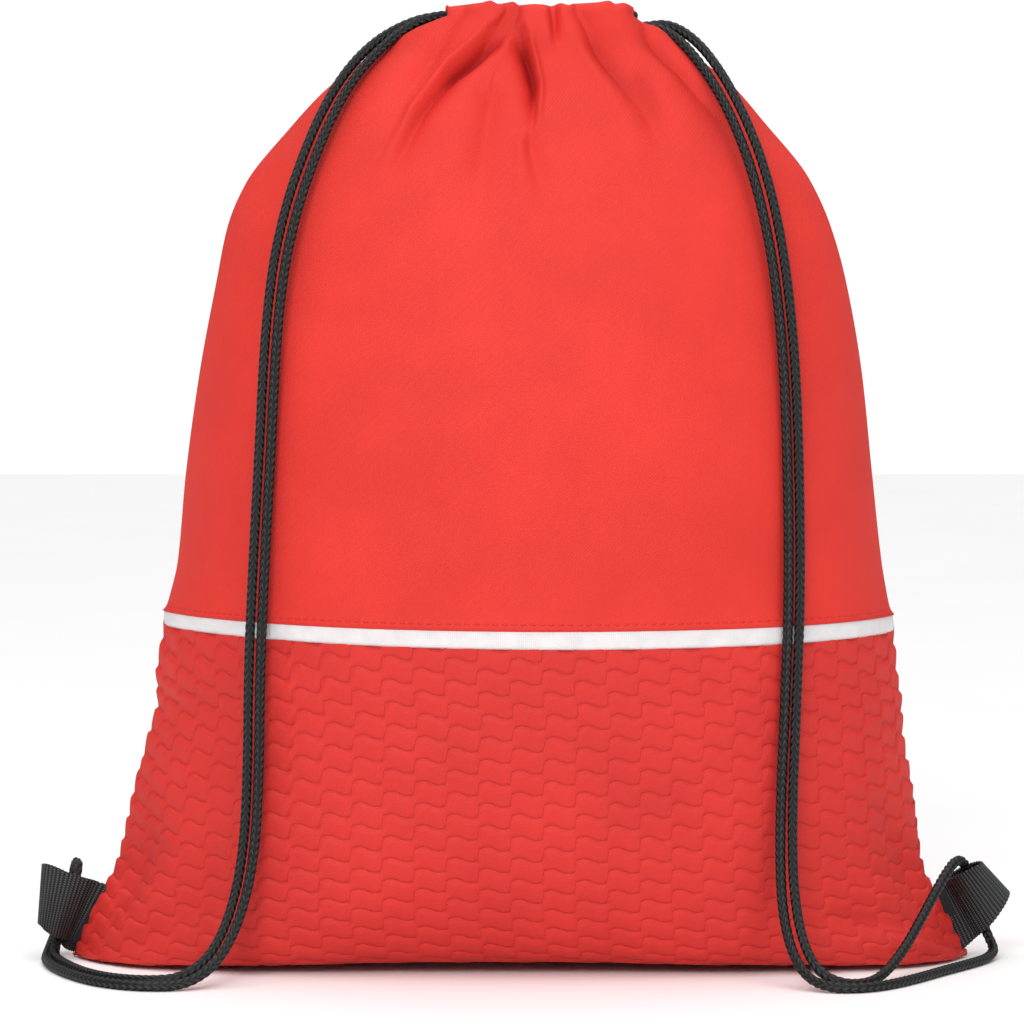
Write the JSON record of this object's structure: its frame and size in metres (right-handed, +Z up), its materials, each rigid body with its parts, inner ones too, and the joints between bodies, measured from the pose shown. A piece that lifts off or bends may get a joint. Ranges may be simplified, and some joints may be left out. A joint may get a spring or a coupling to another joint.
{
  "type": "drawstring backpack",
  "caption": "Drawstring backpack of coated cloth, standing stuffed: gathered neck, two looped cord straps held by webbing tabs, embossed lower front and a light trim.",
  "frame": {"origin": "on the ground, under the middle of the bag", "axes": "+Z up, the front with the trim faces -Y, +X to the right of a viewer in front"},
  "size_m": [0.3715, 0.1648, 0.361],
  "materials": {
    "red_polyester": "matte",
    "embossed_polyester": "satin",
    "white_trim": "matte",
    "black_cord": "satin",
    "black_webbing": "matte",
    "red_thread": "matte"
  },
  "bodies": {
    "bag": {"back_hem_tunnel": "red_polyester", "back_panel": "red_polyester", "front_hem_tunnel": "red_polyester", "front_lower_panel": "embossed_polyester", "front_upper_panel": "red_polyester", "left_cord": "black_cord", "left_cord_tunnel_run": "black_cord", "left_tab_root": "black_webbing", "right_cord": "black_cord", "right_cord_tunnel_run": "black_cord", "right_tab_root": "black_webbing", "seam_overlock": "red_thread", "trim_band": "white_trim", "trim_topstitch": "red_thread"},
    "left_tab": {"left_webbing_tab": "black_webbing"},
    "right_tab": {"right_webbing_tab": "black_webbing"}
  },
  "joints": [
    {"name": "left_tab_flex", "type": "hinge", "parent": "bag", "child": "left_tab", "pos_m": [-0.16625, 0, 0.0174], "axis": [-0.4602, 0, -0.8878], "range_deg": [-8, 8], "stiffness_Nm_per_rad": 0.01},
    {"name": "right_tab_flex", "type": "hinge", "parent": "bag", "child": "right_tab", "pos_m": [0.16625, 0, 0.0174], "axis": [0.4602, 0, -0.8878], "range_deg": [-8, 8], "stiffness_Nm_per_rad": 0.01}
  ]
}
